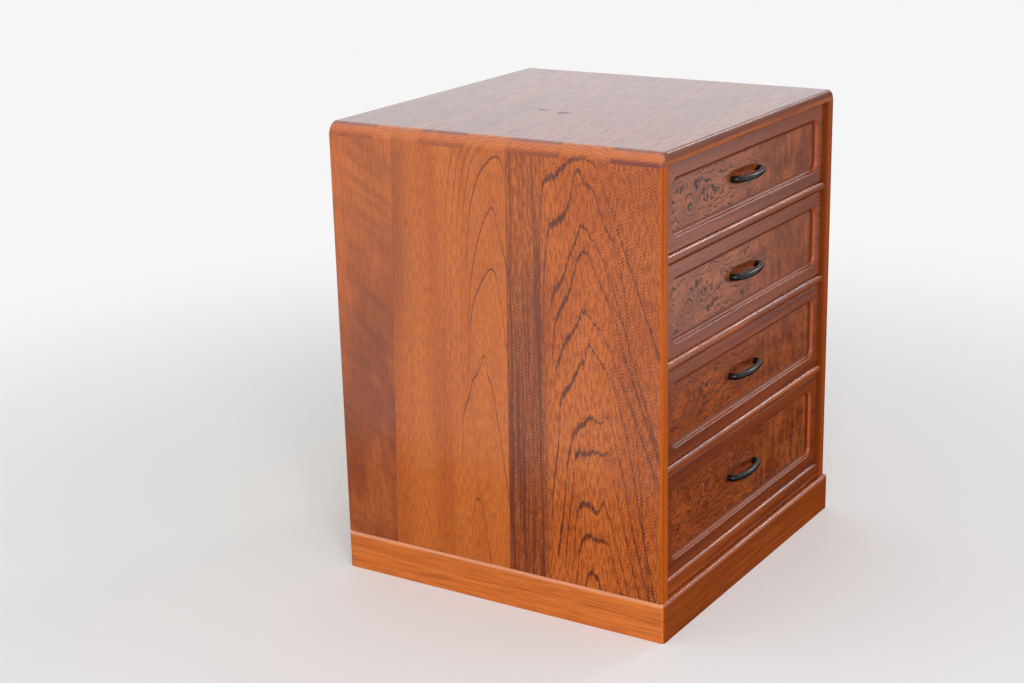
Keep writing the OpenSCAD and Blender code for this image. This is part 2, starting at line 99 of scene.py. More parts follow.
OUTER_LINES: tuple[Line, ...] = (
    ((172, 436), (184, 424), (193, 398), (199, 360), (202, 300), (204, 230), (206, 170)),
    ((180, 440), (191, 426), (199, 400), (205, 355), (208, 290), (211, 200), (213, 120)),
    ((190, 440), (200, 422), (207, 390), (212, 330), (216, 250), (219, 150), (221, 60)),
    ((200, 440), (209, 418), (215, 380), (220, 310), (224, 220), (227, 120), (229, 40)),
)


def tone(red: int, green: int, blue: int) -> Tone:
    """A colour as it is seen on a screen, turned into light amounts.

    Args:
        red: red from 0 to 255.
        green: green from 0 to 255.
        blue: blue from 0 to 255.

    Returns:
        The linear colour.
    """
    def linear(level: float) -> float:
        """One channel from 0 to 1, made linear."""
        return level / 12.92 if level <= 0.04045 else ((level + 0.055) / 1.055) ** 2.4

    return linear(red / 255), linear(green / 255), linear(blue / 255)


def box_mm(node: str) -> tuple[Vector, Vector]:
    """Lowest and highest corner of a node in millimetres."""
    low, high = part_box(node)
    return low * MM, high * MM


class Field:
    """A number that varies over a surface; arithmetic on it adds nodes to its tree."""

    def __init__(self, nodes: "Nodes", socket: bpy.types.NodeSocket) -> None:
        """Keeps the tree and the socket that gives the number."""
        self.nodes = nodes
        self.socket = socket

    def __add__(self, other: Number) -> "Field":
        """Sum."""
        return self.nodes.sum_up("ADD", self, other)

    def __sub__(self, other: Number) -> "Field":
        """Difference."""
        return self.nodes.sum_up("SUBTRACT", self, other)

    def __rsub__(self, other: Number) -> "Field":
        """Difference, the other way round."""
        return self.nodes.sum_up("SUBTRACT", other, self)

    def __mul__(self, other: Number) -> "Field":
        """Product."""
        return self.nodes.sum_up("MULTIPLY", self, other)

    def __truediv__(self, other: Number) -> "Field":
        """Quotient."""
        return self.nodes.sum_up("DIVIDE", self, other)

    def size(self) -> "Field":
        """Distance from zero."""
        return self.nodes.sum_up("ABSOLUTE", self)

    def least(self, other: Number) -> "Field":
        """The smaller of two."""
        return self.nodes.sum_up("MINIMUM", self, other)

    def most(self, other: Number) -> "Field":
        """The larger of two."""
        return self.nodes.sum_up("MAXIMUM", self, other)

    def power(self, exponent: float) -> "Field":
        """Raised to a power."""
        return self.nodes.sum_up("POWER", self, exponent)

    def wave(self) -> "Field":
        """Sine."""
        return self.nodes.sum_up("SINE", self)

    def remainder(self) -> "Field":
        """Part after the whole number."""
        return self.nodes.sum_up("FRACT", self)

    def rise(self, start: float, end: float) -> "Field":
        """A soft step from 0 to 1.

        Args:
            start: where it leaves 0.
            end: where it reaches 1; below start it falls instead.

        Returns:
            The step.
        """
        step = self.nodes.node("ShaderNodeMapRange", interpolation_type="SMOOTHSTEP")
        low, high, first, last = (start, end, 0.0, 1.0) if start < end else (end, start, 1.0, 0.0)
        for name, value in (("From Min", low), ("From Max", high), ("To Min", first), ("To Max", last)):
            step.inputs[name].default_value = value
        self.nodes.feed(step.inputs["Value"], self)
        return Field(self.nodes, step.outputs["Result"])


class Nodes:
    """A node tree that is built step by step."""

    def __init__(self, tree: bpy.types.NodeTree) -> None:
        """Keeps the tree."""
        self.tree = tree

    def node(self, kind: str, **settings: object) -> bpy.types.Node:
        """Adds a node.

        Args:
            kind: the node's type.
            settings: its plain settings.

        Returns:
            The node.
        """
        made = self.tree.nodes.new(kind)
        for name, value in settings.items():
            setattr(made, name, value)
        return made

    def add(self, kind: str, **inputs: object) -> bpy.types.Node:
        """Adds a node and feeds its inputs by name, underscores standing for spaces.

        Args:
            kind: the node's type.
            inputs: whatever feed takes.

        Returns:
            The node.
        """
        made = self.node(kind)
        for name, value in inputs.items():
            self.feed(made.inputs[name.replace("_", " ")], value)
        return made

    def feed(self, socket: bpy.types.NodeSocket, value: object) -> None:
        """Gives a socket a field, a node's first output, another socket, a number or a colour.

        Args:
            socket: the input.
            value: what goes in.
        """
        if isinstance(value, Field):
            self.tree.links.new(value.socket, socket)
        elif isinstance(value, bpy.types.Node):
            self.tree.links.new(value.outputs[0], socket)
        elif isinstance(value, bpy.types.NodeSocket):
            self.tree.links.new(value, socket)
        elif isinstance(value, tuple) and len(value) == 3 and socket.type == "RGBA":
            socket.default_value = (*value, 1.0)
        else:
            socket.default_value = value

    def sum_up(self, operation: str, *values: Number) -> Field:
        """One arithmetic step.

        Args:
            operation: what is worked out.
            values: fields or numbers that go in.

        Returns:
            The result.
        """
        step = self.node("ShaderNodeMath", operation=operation)
        for socket, value in zip(step.inputs, values):
            self.feed(socket, value)
        return Field(self, step.outputs[0])


class Recipe(Nodes):
    """The nodes of one material, written as sums on fields in millimetres."""

    def __init__(self, name: str) -> None:
        """Starts a material.

        Args:
            name: the material's name.
        """
        self.material = bpy.data.materials.new(name)
        self.material.use_nodes = True
        super().__init__(self.material.node_tree)
        self.shader = next(n for n in self.tree.nodes if n.type == "BSDF_PRINCIPLED")
        place = self.node("ShaderNodeTexCoord")
        split = self.add("ShaderNodeSeparateXYZ", Vector=place.outputs["Object"])
        self.x, self.y, self.z = (Field(self, split.outputs[i]) * MM for i in range(3))

    def noise(self, x: Number, y: Number, z: Number = 0.0, detail: float = 2.0,
              roughness: float = 0.5, twist: float = 0.0) -> Field:
        """Soft random field.

        Args:
            x: first coordinate, in cycles.
            y: second coordinate, in cycles.
            z: third coordinate, in cycles.
            detail: how many finer layers are added.
            roughness: how strong those are.
            twist: how much it is distorted.

        Returns:
            A field from 0 to 1 with its middle at 0.5.
        """
        point = self.add("ShaderNodeCombineXYZ", X=x, Y=y, Z=z)
        cloud = self.add("ShaderNodeTexNoise", Vector=point, Scale=1.0, Detail=detail,
                         Roughness=roughness, Distortion=twist)
        return Field(self, cloud.outputs["Fac"])

    def curve(self, value: Field, points: Line) -> Field:
        """A smooth line through given points, read at a field.

        Args:
            value: where the line is read.
            points: pairs of place and height, in order of place.

        Returns:
            The height of the line.
        """
        step = self.node("ShaderNodeFloatCurve")
        step.mapping.use_clip = False
        step.mapping.extend = "EXTRAPOLATED"
        track = step.mapping.curves[0]
        track.points[0].location, track.points[-1].location = points[0], points[-1]
        for x, y in points[1:-1]:
            track.points.new(x, y)
        step.mapping.update()
        self.feed(step.inputs["Value"], value)
        return Field(self, step.outputs["Value"])

    def chevrons(self, across: Field, along: Field, width: float, pitch: float, seed: float) -> Field:
        """Rows of small slanting flecks that meet in chevrons.

        Args:
            across: distance across the rows.
            along: distance along them.
            width: width of two rows.
            pitch: distance between flecks.
            seed: which flecks.

        Returns:
            1 on the flecks and 0 between them.
        """
        slant = ((across / width).remainder() - 0.5).size() * (width * 0.75)
        shift = self.noise(across * 0.11, along * 0.05, seed) * 9
        rows = ((along + slant) * (math.tau / pitch) + shift).wave()
        gaps = self.noise(across * 0.7, along * 0.12, seed + 4).rise(0.38, 0.56)
        return rows.rise(-0.1, 0.8) * gaps

    def mix(self, amount: Number, low: object, high: object) -> bpy.types.NodeSocket:
        """Mixes two colours.

        Args:
            amount: 0 gives the first colour and 1 the second.
            low: the first colour.
            high: the second colour.

        Returns:
            The mixed colour's socket.
        """
        step = self.node("ShaderNodeMix", data_type="RGBA")
        self.feed(step.inputs["Factor"], amount)
        self.feed(step.inputs[6], low)
        self.feed(step.inputs[7], high)
        return step.outputs[2]

    def layers(self, colour: object, *coats: tuple[Number, object]) -> bpy.types.NodeSocket:
        """Lays colours over one another.

        Args:
            colour: what lies under them.
            coats: how much of each and its colour, from the lowest up.

        Returns:
            The colour that is seen.
        """
        for amount, shade in coats:
            colour = self.mix(amount, colour, shade)
        return colour

    def finish(self, colour: object, gloss: "Gloss", roughness: Number, height: Field,
               depth: float, lacquered: Number = 1.0) -> bpy.types.Material:
        """Sets the shader and returns the material.

        Args:
            colour: base colour or its socket.
            gloss: the lacquer over it.
            roughness: roughness under the lacquer.
            height: relief from 0 to 1.
            depth: what 1 stands for in metres.
            lacquered: where the lacquer lies, from 0 to 1.

        Returns:
            The finished material.
        """
        values = {
            "Base Color": colour,
            "Metallic": gloss.metal,
            "Roughness": roughness,
            "Normal": self.add("ShaderNodeBump", Strength=gloss.relief, Distance=depth, Height=height),
            "Specular IOR Level": gloss.specular,
            "Coat Weight": lacquered * gloss.coat,
            "Coat Roughness": gloss.coat_roughness,
        }
        for name, value in values.items():
            self.feed(self.shader.inputs[name], value)
        return self.material


@dataclass(frozen=True)
class Gloss:
    """How a surface shines: the same all over it."""

    specular: float = 0.5
    coat: float = 0.0
    coat_roughness: float = 0.12
    metal: float = 0.0
    relief: float = 0.35


class Grain(Enum):
    """The way a board's grain runs."""

    ACROSS = "x"
    BACKWARDS = "y"
    UPRIGHT = "z"


@dataclass(frozen=True)
class StraightWood:
    """Plain straight-grained wood with fine open pores."""

    name: str
    light: Tone
    dark: Tone
    grain: Grain
    gloss: Gloss = Gloss()
    banding: float = 1.0
    pore_depth: float = 0.45
    roughness: float = 0.42
    lip_highlight_from: float = 0.0

    def make(self) -> bpy.types.Material:
        """Builds the material.

        Returns:
            The finished material.
        """
        r = Recipe(self.name)
        along, side, other = {
            Grain.ACROSS: (r.x, r.z, r.y),
            Grain.BACKWARDS: (r.y, r.z, r.x),
            Grain.UPRIGHT: (r.z, r.y, r.x),
        }[self.grain]
        drift = r.noise(along * 0.006, side * 0.05, other * 0.05) * 9
        bands = r.noise(along * 0.003, (side + drift) * 0.13, (other + drift) * 0.13, detail=3)
        pores = r.noise(along * 0.022, side * 1.1, other * 1.1)
        marks = pores.rise(0.48, 0.60)
        colour = r.mix(bands.rise(0.36, 0.66) * self.banding, self.light, self.dark)
        colour = r.mix(marks * self.pore_depth, colour, tuple(level * 0.45 for level in self.dark))
        # Painted highlight: a pale pinkish line along the plinth's top lip, stronger in places, where the
        # lacquer catches the light.
        if self.lip_highlight_from:
            paler = r.z.rise(self.lip_highlight_from, self.lip_highlight_from + 1.5) * (r.noise(along * 0.02, 3.0) * 0.3 + 0.2)
            colour = r.mix(paler, colour, tone(244, 184, 150))
        return r.finish(colour, self.gloss, marks * 0.12 + self.roughness, marks * -1 + 1, 0.00006)


@dataclass(frozen=True)
class SideWood:
    """Three edge-joined boards with upright grain: bold arches, narrow arches, then curl."""

    name: str
    front_y: float = box_mm("left_side")[0].y
    first_seam: float = 153.0
    second_seam: float = 283.0
    seam_top: float = 413.0
    seam_lean: float = 0.0124
    arc_middle: float = 98.0
    corner_z: float = box_mm("top_board")[0].z
    post_inner: float = 169.6
    gloss: Gloss = Gloss(specular=0.06, coat=0.9, coat_roughness=0.2)

    def arches(self, r: Recipe, s: Field, lines: tuple[Line, ...], thin: float, thick: Number,
               feather: float) -> tuple[Field, Field]:
        """Dark growth lines, each with flecked wood just above it.

        Args:
            r: the recipe.
            s: distance behind the front edge.
            lines: the growth lines.
            thin: half the height of a line.
            thick: what is added to that.
            feather: how far the pores draw the lines out.

        Returns:
            The lines and the bands above them, from 0 to 1.
        """
        level = r.z + (r.noise(s * 0.6, r.z * 0.04, 3.0, detail=3, roughness=0.6) - 0.5) * feather
        dark, band = s * 0, s * 0
        for line in lines:
            height = r.curve(s, line)
            above = level - height
            width = (max(z for _, z in line) - height).most(0) * 0.02 + thick + thin
            inside = s.rise(line[-1][0] + 0.5, line[-1][0] - 1)
            dark = dark.most((above.size() / width).rise(1.35, 0.55) * inside)
            band = band.most(above.rise(17, 0) * above.rise(-1, 1) * inside)
        return dark, band

    def bold(self, r: Recipe, s: Field) -> tuple[bpy.types.NodeSocket, Field]:
        """The front board: open-pored wood with broad dark arches.

        Args:
            r: the recipe.
            s: distance behind the front edge.

        Returns:
            Its colour, and how dark its pores and rings are.
        """
        heavy = s.rise(56, 92) * 1.7 + r.z.rise(280, 120) * 1.2
        lines, bands = self.arches(r, s, BOLD_LINES, 0.8, heavy, 13)
        rearward = (s - r.z * 0.03).rise(38, 68)
        front = (s - r.z * 0.08).rise(36, 14)
        rear = (s + r.noise(r.z * 0.03, 2.0) * 6).rise(112, 124)
        slow = r.noise(s * 0.02, r.z * 0.008, 2.0).rise(0.3, 0.7)
        drift = r.noise(r.z * 0.012, s * 0.03, 9.0) - 0.5
        flecks = r.chevrons(s - r.z * 0.17 + drift * 5, r.z, 9.0, 3.1, 1.0)
        beads = r.chevrons(s + drift * 9, r.z, 8.0, 3.1, 5.0)
        pores = r.noise(s * 0.5, r.z * 0.095, 5.0, detail=3, roughness=0.6).rise(0.46, 0.57)
        ropes = r.noise(s * 0.30 + drift * 1.6, r.z * 0.0045, 8.0).rise(0.47, 0.58)
        threads = r.noise(s * 0.7, r.z * 0.014, 6.0).rise(0.46, 0.6)
        low = r.z.rise(390, 240)
        colour = r.layers(
            r.mix(slow, tone(206, 110, 46), tone(190, 94, 34)),
            (front * 0.22, tone(158, 70, 28)),
            (pores * 0.54, tone(130, 54, 26)),
            (flecks * (front * 0.40 + bands * 0.40 + 0.22), tone(100, 38, 18)),
            (rear * (low * 0.30 + 0.04), tone(112, 56, 42)),
            (rear * threads * 0.42, tone(104, 48, 34)),
            (rear * ropes * (low * 0.25 + 0.40), tone(94, 46, 38)),
            (rear * beads * (low * 0.40 + 0.28), tone(80, 36, 24)),
            (lines * (pores * 0.2 + 0.75) * (rearward * 0.3 + 0.7), tone(86, 42, 32)),
        )
        marks = pores * 0.4 + flecks * front * 0.4 + lines * 0.6
        return colour, marks.least(1)

    def narrow(self, r: Recipe, s: Field) -> tuple[bpy.types.NodeSocket, Field]:
        """The middle board: fine-pored wood with narrow thin arches at its front side.

        Args:
            r: the recipe.
            s: distance behind the front edge.

        Returns:
            Its colour, and how dark its pores and rings are.
        """
        lines, bands = self.arches(r, s, NARROW_LINES, 1.0, 0.0, 3)
        side_lines, _ = self.arches(r, s, OUTER_LINES, 3.0, 0.0, 3)
        near = s.rise(216, 204)
        pores = r.noise(s * 0.7, r.z * 0.1, 6.0).rise(0.44, 0.58)
        slow = r.noise(s * 0.045, r.z * 0.003, 8.0).rise(0.36, 0.66)
        dashes = r.chevrons(s - 176 + r.z * 0.05, r.z, 13.0, 2.8, 2.0)
        from_seam = (s - (self.second_seam + 5) + r.noise(r.z * 0.01, 5.0) * 8).size()
        shade = from_seam.rise(44, 8) * r.z.rise(190, 320)
        colour = r.layers(
            r.mix(slow, tone(206, 112, 48), tone(190, 98, 42)),
            (pores * 0.36, tone(140, 62, 28)),
            (shade * 0.42, tone(130, 68, 46)),
            (dashes * bands * near * 0.42, tone(128, 56, 30)),
            (side_lines * 0.4, tone(110, 52, 36)),
            (lines * near * 0.85, tone(98, 46, 34)),
        )
        return colour, (pores * 0.4 + lines * near * 0.4).least(1)

    def curled(self, r: Recipe, s: Field) -> bpy.types.NodeSocket:
        """The back strip: darker wood with soft slanting curl across it.

        Args:
            r: the recipe.
            s: distance behind the front edge.

        Returns:
            Its colour.
        """
        slant = r.z - s * 0.55
        curl = r.noise(slant * 0.085, (s + r.z * 0.5) * 0.012, 2.5, detail=3).rise(0.40, 0.66)
        broad = r.noise(s * 0.03, slant * 0.012, 5.5).rise(0.36, 0.62)
        pores = r.noise(s * 0.5, r.z * 0.05, 6.5, detail=3, roughness=0.6).rise(0.45, 0.62)
        rim = s.rise(318, 338) * r.z.rise(150, 300)
        amount = r.z.rise(420, 230) * (broad * 0.35 + 0.5) + broad * 0.15
        return r.layers(
            r.mix(amount, tone(204, 110, 54), tone(152, 76, 42)),
            (curl * 0.34, tone(112, 54, 36)),
            (rim * 0.5, tone(204, 106, 46)),
            (pores * 0.28, tone(118, 56, 36)),
        )

    def finger_arcs(self, r: Recipe, s: Field) -> Field:
        """Pale growth lines that fan out over the rounding of the fingers."""
        bent = r.z * 1.1 + (s - self.arc_middle).size() * 0.16 + r.noise(s * 0.05, r.z * 0.08, 2.0) * 6
        return ((bent / 2.4).remainder() - 0.5).size().rise(0.32, 0.04)

    def make(self) -> bpy.types.Material:
        """Builds the material.

        Returns:
            The finished material.
        """
        r = Recipe(self.name)
        s = r.y - self.front_y
        front, front_marks = self.bold(r, s)
        middle, middle_marks = self.narrow(r, s)
        lean = (self.seam_top - r.z) * self.seam_lean
        past_first = (s - lean).rise(self.first_seam - 0.3, self.first_seam + 0.3)
        past_second = (s - lean * 2.4).rise(self.second_seam - 9, self.second_seam - 8)
        over = r.z.rise(self.corner_z, self.corner_z + 8)
        colour = r.layers(
            front,
            (past_first, middle),
            (past_second, self.curled(r, s)),
            (over * 0.6, tone(212, 116, 60)),
            (over * self.finger_arcs(r, s) * 0.24, tone(240, 170, 128)),
        )
        outside = r.x.size().rise(172, 176).most(r.z.rise(self.corner_z - 2, self.corner_z + 2))
        outer = outside * s.rise(0.8, 2.6)
        stripe = r.noise(r.x * 0.5, r.z * 0.008, r.y * 0.05).rise(0.4, 0.7)
        gap_shade = r.x.size().rise(self.post_inner, self.post_inner - 2.2)
        post = r.layers(
            r.mix(stripe * 0.6, tone(188, 90, 24), tone(140, 62, 20)),
            (r.x.rise(-20, 20) * 0.6, tone(134, 62, 26)),
            # Painted shade: a dark line along the post's inner edge beside the drawer gap.
            (gap_shade * 0.5, tone(88, 38, 18)),
        )
        colour = r.mix(outer, post, colour)
        marks = (front_marks * (1 - past_first) + middle_marks * past_first) * outer
        return r.finish(colour, self.gloss, marks * 0.14 + 0.24, marks * -1 + 1, 0.00008, outer)


@dataclass(frozen=True)
class Knot:
    """A small dark knot hole: its middle, the way it points and half its length and width."""

    x: float
    y: float
    turn: float
    length: float
    width: float


@dataclass(frozen=True)
class TopWood:
    """The top board: grain runs across, end grain shows on the corner fingers."""

    name: str
    half_width: float = box_mm("top_board")[1].x
    front_y: float = box_mm("top_board")[0].y
    top_z: float = box_mm("top_board")[1].z
    knots: tuple[Knot, ...] = (
        Knot(x=-49.0, y=1.0, turn=2.1, length=6.5, width=3.4),
        Knot(x=-41.6, y=29.2, turn=1.32, length=7.0, width=1.6),
    )
    gloss: Gloss = Gloss(specular=0.3, coat=1.0, coat_roughness=0.14)

    def make(self) -> bpy.types.Material:
        """Builds the material.

        Returns:
            The finished material.
        """
        r = Recipe(self.name)
        sway = r.noise(r.x * 0.005, r.y * 0.02, 1.0, detail=3) - 0.5
        arch = r.y + (r.x * 0.02).power(2) * 2.4 + sway * 46
        rings = ((arch / 15).remainder() - 0.5).size().rise(0.15, 0.0)
        pores = r.noise(r.x * 0.03, r.y * 0.4, 2.0, detail=3).rise(0.45, 0.66)
        slow = r.noise(r.x * 0.004, r.y * 0.03, 3.0).rise(0.35, 0.65)
        holes = r.x * 0
        for knot in self.knots:
            x, y = r.x - knot.x, r.y - knot.y
            ahead = (x * math.cos(knot.turn) + y * math.sin(knot.turn)) / knot.length
            aside = (y * math.cos(knot.turn) - x * math.sin(knot.turn)) / knot.width
            holes = holes.most((ahead.power(2) + aside.power(2)).rise(1.3, 0.5))
        end = r.x.size().rise(self.half_width - 8.5, self.half_width - 4.5)
        waver = r.noise(r.y * 0.03, r.z * 0.05, 4.0) * 14
        lines = (((r.y * 0.42 + r.z * 1.1 + waver) / 3.2).remainder() - 0.5).size().rise(0.3, 0.02)
        upper = r.z.rise(self.top_z - 10, self.top_z - 5)
        shade = r.y.rise(60, -150)
        blotch = r.noise(r.y * 0.12, r.z * 0.12, 5.0, detail=3).rise(0.35, 0.7)
        grain_end = r.layers(
            r.mix(shade, tone(172, 94, 62), tone(124, 64, 54)),
            (upper, tone(206, 112, 64)),
            (blotch * 0.25, tone(130, 64, 44)),
            (lines * (upper * 0.13 + 0.07), tone(240, 170, 130)),
        )
        front = r.y.rise(self.front_y + 2.6, self.front_y + 0.8)
        thread = r.noise(r.x * 0.008, r.z * 0.5, 6.0).rise(0.4, 0.7)
        lower = r.mix(thread, tone(168, 84, 28), tone(128, 58, 22))
        across = r.mix(r.z.rise(self.top_z - 9, self.top_z - 5) * 0.8, lower, tone(104, 50, 36))
        colour = r.layers(
            r.mix(slow, tone(156, 62, 34), tone(128, 46, 28)),
            (pores * 0.3, tone(76, 36, 26)),
            (rings * 0.32, tone(66, 32, 26)),
            (holes, tone(24, 16, 14)),
            (end, grain_end),
            (front * (1 - end), across),
        )
        flat = r.z.rise(self.top_z - 6, self.top_z - 0.2) * (1 - holes * 0.8)
        lacquered = flat * (r.y.rise(self.front_y + 0.4, self.front_y + 3.5) * 0.5 + 0.5)
        return r.finish(colour, self.gloss, pores * 0.2 + 0.36, pores * -1 + 1, 0.00001, lacquered)


@dataclass(frozen=True)
class FrontWood:
    """A drawer front: red-brown border, brighter moulding with painted light on its right end and painted
    shade along the veneer's edge, plain brown in the finger hollow.
    """

    name: str
    light: Tone = tone(144, 64, 22)
    dark: Tone = tone(118, 48, 16)
    face_y: float = box_mm("drawer_1_front")[0].y
    burl_y: float = box_mm("drawer_1_burl")[0].y
    panel_end: float = box_mm("drawer_1_burl")[1].x - 1
    gloss: Gloss = Gloss(specular=0.12, coat=0.85, coat_roughness=0.24)

    def make(self) -> bpy.types.Material:
        """Builds the material.

        Returns:
            The finished material.
        """
        r = Recipe(self.name)
        drift = r.noise(r.x * 0.006, r.z * 0.04, 1.0) * 12
        bands = r.noise(r.x * 0.004, (r.z + drift) * 0.16, 2.0, detail=3).rise(0.36, 0.66)
        pores = r.noise(r.x * 0.07, r.z * 1.1, r.y * 1.1).rise(0.54, 0.68)
        moulding = r.y.rise(self.face_y + 0.15, self.face_y + 1.2)
        right_end = r.x.rise(self.panel_end - 2, self.panel_end)
        cove_shade = r.y.rise(self.burl_y - 2.4, self.burl_y - 0.9)
        hollow = r.y.rise(self.burl_y + 0.1, self.burl_y + 0.5)
        speck = r.noise(r.x * 0.09, r.z * 0.35, r.y * 0.35, detail=3).rise(0.42, 0.66)
        inside = r.y.rise(self.burl_y + 9, self.burl_y + 11)
        colour = r.layers(
            r.mix(bands, self.light, self.dark),
            (pores * 0.35, tone(80, 34, 22)),
            (moulding * 0.6, r.mix(bands, tone(160, 74, 28), tone(130, 56, 24))),
            # Painted light: the right end of the moulding faces the lamp and is coloured bright orange.
            (moulding * right_end * 0.8, tone(196, 96, 44)),
            # Painted shade in the deepest part of the cove beside the veneer, darker at the right end.
            (cove_shade * (right_end * 0.5 + 0.35), tone(56, 22, 14)),
            (hollow, r.mix(speck, tone(150, 66, 26), tone(96, 40, 18))),
            (inside, tone(176, 118, 76)),
        )
        lacquered = r.y.rise(self.face_y + 1.6, self.face_y + 0.7) * 0.75 + 0.25
        return r.finish(colour, self.gloss, pores * 0.1 + 0.3, pores * -1 + 1, 0.00005, lacquered)


@dataclass(frozen=True)
class BurlVeneer:
    """Burl: dark squiggling contour lines and an eye at the left, upright streaks at the right.

    The seed picks the figure, ink is how dark its lines are, flames how strong the fine figure is; the tint
    is a painted reflection, a haze laid over the left of the panel.
    """

    name: str
    panel_z: float
    seed: float
    ink: float
    flames: float
    reflection_tint: Tone
    light: Tone = tone(166, 82, 34)
    dark: Tone = tone(126, 56, 24)
    line: Tone = tone(70, 30, 16)
    gloss: Gloss = Gloss()
    eye: tuple[float, float] = (-112.0, -7.0)

    def make(self) -> bpy.types.Material:
        """Builds the material.

        Returns:
            The finished material.
        """
        r = Recipe(self.name)
        x, z = r.x, r.z - self.panel_z
        wobble = r.noise(x * 0.02, z * 0.045, self.seed) - 0.5
        drips = r.noise(x * 0.13, z * 0.05, self.seed + 4, detail=3, roughness=0.6) - 0.5
        ring = (((x - self.eye[0]) / 9).power(2) + ((z - self.eye[1]) / 9.5).power(2)).power(0.5)
        calm = ring.rise(0.8, 2.4) * 0.7 + 0.3
        relief = (z * 0.13 + wobble * 5.0 + drips * 2.2) * calm + ring.rise(2.8, 0.0) * 3.6 + self.seed
        left = x.rise(90, -40)
        steps = relief.remainder()
        contour = (steps - 0.5).size().rise(0.15, 0.06)
        shade = steps.rise(0.5, 0.95) * steps.rise(1.0, 0.97)
        breaks = r.noise(x * 0.05, z * 0.06, self.seed + 9).rise(0.34, 0.46)
        streaks = r.noise(x * 0.13 + wobble * 1.6, z * 0.022, self.seed + 2, detail=4, roughness=0.62)
        fine = r.noise(x * 0.16, z * 0.26, self.seed + 6, detail=4, roughness=0.7, twist=1.2)
        broad = r.noise(x * 0.025, z * 0.05, self.seed + 7).rise(0.3, 0.7)
        colour = r.layers(
            # Painted reflection: the left of the panel is mixed toward the tint, a haze like the lacquer
            # mirroring the room.
            r.mix(left * 0.22, r.mix(broad, self.light, self.dark), self.reflection_tint),
            (shade * (left * 0.22 + 0.12), self.line),
            (streaks.rise(0.50, 0.62) * (1 - left * 0.75) * 0.42, self.line),
            (streaks.rise(0.47, 0.36) * (1 - left) * 0.5, tone(192, 96, 42)),
            (fine.rise(0.50, 0.60) * self.flames, self.line),
            (fine.rise(0.46, 0.36) * self.flames * 0.85, tone(186, 96, 44)),
            (contour * breaks * (left * 0.85 + 0.1) * self.ink, tone(24, 9, 6)),
        )
        marks = contour * breaks * left
        return r.finish(colour, self.gloss, marks * 0.08 + 0.26, marks * -1 + 1, 0.00003)


@dataclass(frozen=True)
class BlackIron:
    """Black lacquered iron, a little uneven from the hammer."""

    name: str = "black_iron"
    gloss: Gloss = Gloss(specular=0.3, relief=0.3)

    def make(self) -> bpy.types.Material:
        """Builds the material.

        Returns:
            The finished material.
        """
        r = Recipe(self.name)
        dents = r.noise(r.x * 0.22, r.y * 0.22, r.z * 0.22)
        # Paler patches where the black lacquer is worn.
        paler = r.noise(r.x * 0.9, r.y * 0.9, r.z * 0.9, detail=3).rise(0.55, 0.75)
        colour = r.mix(paler * 0.5, tone(11, 10, 10), tone(32, 30, 28))
        return r.finish(colour, self.gloss, paler * 0.12 + 0.2, dents, 0.0004)


@dataclass(frozen=True)
class ScrewSteel:
    """Turned steel of the screws."""

    name: str = "screw_steel"
    gloss: Gloss = Gloss(metal=1.0, relief=0.2)

    def make(self) -> bpy.types.Material:
        """Builds the material.

        Returns:
            The finished material.
        """
        r = Recipe(self.name)
        turned = r.noise(r.x * 3, r.y * 3, r.z * 3)
        colour = r.mix(turned, tone(150, 150, 152), tone(196, 196, 198))
        return r.finish(colour, self.gloss, turned * 0.15 + 0.25, turned, 0.00002)


def rays(nodes: Nodes) -> tuple[Field, Field]:
    """What tells apart how a place is seen.

    Args:
        nodes: the tree that asks.

    Returns:
        1 where the camera looks straight at it, and 1 where a glossy surface mirrors it.
    """
    path = nodes.node("ShaderNodeLightPath")
    return Field(nodes, path.outputs["Is Camera Ray"]), Field(nodes, path.outputs["Is Glossy Ray"])


@dataclass(frozen=True)
class Viewpoint:
    """Where the chest is seen from."""

    location: tuple[float, float, float] = (-1.47825, -0.85433, 0.73748)
    right: tuple[float, float, float] = (0.534132, -0.845062, -0.023951)
    up: tuple[float, float, float] = (0.262937, 0.139133, 0.954728)
    lens: float = 63.97

    def make(self) -> None:
        """Makes the camera and gives it to the scene."""
        data = bpy.data.cameras.new("viewpoint")
        data.lens = self.lens
        data.sensor_width = 36.0
        camera = bpy.data.objects.new("viewpoint", data)
        right, up = Vector(self.right).normalized(), Vector(self.up).normalized()
        turn = Matrix((right, up, right.cross(up))).transposed().to_4x4()
        camera.matrix_world = Matrix.Translation(self.location) @ turn
        bpy.context.scene.collection.objects.link(camera)
        bpy.context.scene.camera = camera


@dataclass(frozen=True)
class Lamp:
    """One soft square lamp."""

    name: str
    location: tuple[float, float, float]
    side: float
    power: float
    target: tuple[float, float, float] = (0.0, 0.0, 0.22)

    def make(self) -> None:
        """Puts the lamp up, turned to the chest."""
        data = bpy.data.lights.new(self.name, "AREA")
        data.shape = "SQUARE"
        data.size = self.side
        data.energy = self.power
        lamp = bpy.data.objects.new(self.name, data)
        lamp.location = self.location
        aim = Vector(self.target) - Vector(self.location)
        lamp.rotation_euler = aim.to_track_quat("-Z", "Y").to_euler()
        bpy.context.scene.collection.objects.link(lamp)


